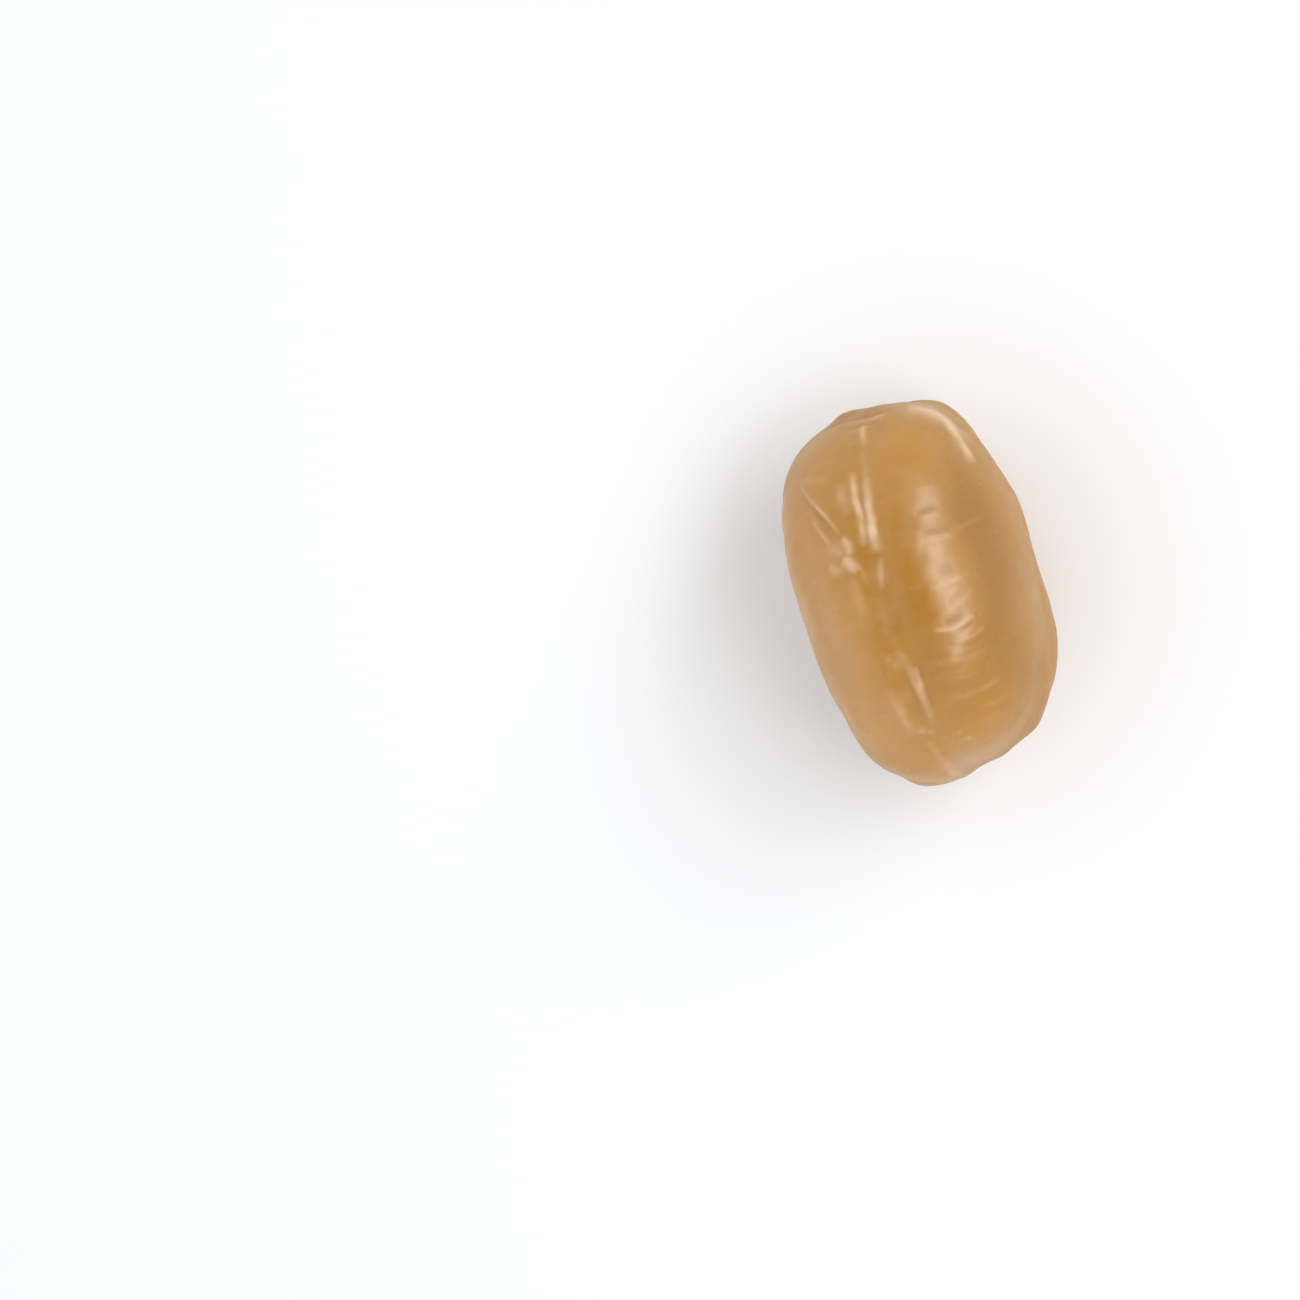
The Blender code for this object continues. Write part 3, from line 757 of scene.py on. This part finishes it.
def table_material(studio):
    """Plain white table, very slightly uneven."""
    material = bpy.data.materials.new("white_table")
    material.use_nodes = True
    material.node_tree.nodes.clear()
    bench = NodeBench(material.node_tree)
    place = bench.add("ShaderNodeTexCoord").outputs["Object"]
    clouds = patches(bench, place, 6.0, 0.2, 0.8)
    paler = tuple(channel * 1.02 for channel in studio.table_color)
    color = blended(bench, clouds, (*studio.table_color, 1), (*paler, 1))
    shader = bench.add("ShaderNodeBsdfPrincipled", {"Base Color": color, "Roughness": 0.6})
    bench.add("ShaderNodeOutputMaterial", {"Surface": shader.outputs["BSDF"]})
    return material


class SWEET_OT_make_drop(bpy.types.Operator):
    """Make the sweet, in the place of the plain solid"""

    bl_idname = "sweet.make_drop"
    bl_label = "Make the drop"

    def execute(self, context):
        shape = context.scene.drop_shape
        mesh = blown_up_cube(shape)
        cut_flat_spot(mesh, shape)
        stand_where_solid_stands(mesh)
        bmesh.ops.triangulate(mesh, faces=mesh.faces[:])
        bmesh.ops.recalc_face_normals(mesh, faces=mesh.faces[:])
        data = bpy.data.meshes.new("sweet_skin")
        mesh.to_mesh(data)
        mesh.free()
        data.shade_smooth()
        data.materials.append(butterscotch_material(context.scene.sugar_finish))
        sweet = bpy.data.objects.new("sweet", data)
        context.scene.collection.objects.link(sweet)
        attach(sweet, "root")
        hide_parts(NODE)
        return {"FINISHED"}


def lay_table(scene, studio):
    """The table under the sweet."""
    mesh = bmesh.new()
    bmesh.ops.create_grid(mesh, x_segments=2, y_segments=2, size=studio.table_size / 2)
    data = bpy.data.meshes.new("table")
    mesh.to_mesh(data)
    mesh.free()
    data.materials.append(table_material(studio))
    table = bpy.data.objects.new("table", data)
    scene.collection.objects.link(table)


def hang_key_light(scene, power, target):
    """A large soft light above at +X, slanted so that its shine lies slantwise too."""
    data = bpy.data.lights.new("key", "AREA")
    data.shape = "RECTANGLE"
    data.size, data.size_y = KEY_SIZE
    data.energy = power
    light = bpy.data.objects.new("key", data)
    back = Vector(KEY_WAY).normalized()
    length_way = Vector(KEY_LONG_WAY)
    length_way = (length_way - back * length_way.dot(back)).normalized()
    turned = Matrix((length_way.cross(back), length_way, back)).transposed().to_4x4()
    light.matrix_world = Matrix.Translation(target + back * KEY_DISTANCE) @ turned
    scene.collection.objects.link(light)


def light_room(studio):
    """White walls all round, brighter at -X, that darken towards the ceiling."""
    world = bpy.data.worlds.new("white_room")
    world.use_nodes = True
    world.node_tree.nodes.clear()
    bench = NodeBench(world.node_tree)
    direction = bench.add("ShaderNodeTexCoord").outputs["Generated"]
    parts = bench.add("ShaderNodeSeparateXYZ", {"Vector": direction}).outputs
    side = bench.add("ShaderNodeMapRange", {"Value": parts["X"], "From Min": -1.0,
                                            "To Min": studio.side_strength,
                                            "To Max": -studio.side_strength})
    low = bench.add("ShaderNodeMapRange", {"Value": parts["Z"], "From Min": SIDE_FADES,
                                           "From Max": SIDE_ENDS, "To Min": 1.0,
                                           "To Max": 0.0}, interpolation_type="SMOOTHSTEP")
    walls = bench.add("ShaderNodeMath", {0: side.outputs["Result"], 1: low.outputs["Result"],
                                         2: studio.wall_strength}, operation="MULTIPLY_ADD")
    below = bench.add("ShaderNodeMapRange", {"Value": parts["Z"], "From Min": CEILING_EDGE,
                                             "From Max": CEILING_MIDDLE, "To Min": 1.0,
                                             "To Max": 0.0}, interpolation_type="SMOOTHSTEP")
    strength = bench.add("ShaderNodeMath", {0: walls.outputs[0], 1: below.outputs["Result"]},
                         operation="MULTIPLY")
    room = bench.add("ShaderNodeBackground", {"Color": (1.0, 1.0, 1.0, 1.0),
                                              "Strength": strength.outputs[0]})
    bench.add("ShaderNodeOutputWorld", {"Surface": room.outputs["Background"]})
    return world


def aim_camera(scene, studio, target):
    """A long lens that looks down on the sweet and keeps its place in the picture."""
    back = Vector((math.sin(studio.lean), 0, math.cos(studio.lean)))
    side = Vector((math.cos(studio.lean), 0, -math.sin(studio.lean)))
    along = Vector((0, 1, 0))
    right = math.cos(studio.turn) * side - math.sin(studio.turn) * along
    up = math.sin(studio.turn) * side + math.cos(studio.turn) * along
    focal = studio.scale * studio.distance / MM
    off_right = (studio.middle_right - studio.picture_size / 2) / focal
    off_up = (studio.picture_size / 2 - studio.middle_down) / focal
    forward = (-back - off_right * right - off_up * up).normalized()
    right = (right - forward * right.dot(forward)).normalized()
    up = right.cross(forward)
    data = bpy.data.cameras.new("camera")
    data.sensor_width = 36.0
    data.lens = focal / studio.picture_size * data.sensor_width
    data.clip_start = 0.01
    camera = bpy.data.objects.new("camera", data)
    turned = Matrix((right, up, -forward)).transposed().to_4x4()
    camera.matrix_world = Matrix.Translation(target + back * studio.distance) @ turned
    scene.collection.objects.link(camera)
    scene.camera = camera


class SWEET_OT_make_stage(bpy.types.Operator):
    """Lay the table, set the light and aim the camera"""

    bl_idname = "sweet.make_stage"
    bl_label = "Make the stage"

    def execute(self, context):
        scene = context.scene
        studio = scene.studio
        low, high = CAD_BOX
        target = (low + high) / 2
        lay_table(scene, studio)
        hang_key_light(scene, studio.key_power, target)
        scene.world = light_room(studio)
        aim_camera(scene, studio, target)
        scene.view_settings.view_transform = "Standard"
        return {"FINISHED"}


class SWEET_PT_panel(bpy.types.Panel):
    """Lists the sweet's sizes, its finish and the studio"""

    bl_idname = "SWEET_PT_panel"
    bl_label = "Butterscotch drop"
    bl_space_type = "VIEW_3D"
    bl_region_type = "UI"
    bl_category = "Sweet"

    def draw(self, context):
        scene = context.scene
        for label, group in (("Shape", scene.drop_shape), ("Sugar", scene.sugar_finish),
                             ("Studio", scene.studio)):
            box = self.layout.box()
            box.label(text=label)
            for name in group.__annotations__:
                box.prop(group, name)
        self.layout.operator(SWEET_OT_make_drop.bl_idname)
        self.layout.operator(SWEET_OT_make_stage.bl_idname)


CLASSES = (DropShape, SugarFinish, Studio, SWEET_OT_make_drop, SWEET_OT_make_stage,
           SWEET_PT_panel)
GROUPS = {"drop_shape": DropShape, "sugar_finish": SugarFinish, "studio": Studio}


def register():
    """Registers the classes and puts the settings on the scene."""
    for one in CLASSES:
        bpy.utils.register_class(one)
    for name, group in GROUPS.items():
        setattr(bpy.types.Scene, name, PointerProperty(type=group))


def unregister():
    """Takes the settings off the scene and the classes out of Blender."""
    for name in GROUPS:
        delattr(bpy.types.Scene, name)
    for one in reversed(CLASSES):
        bpy.utils.unregister_class(one)


def main():
    """Makes the stage and the sweet."""
    register()
    cloudy_group()
    bpy.ops.sweet.make_stage()
    bpy.ops.sweet.make_drop()


if __name__ == "__main__":
    main()
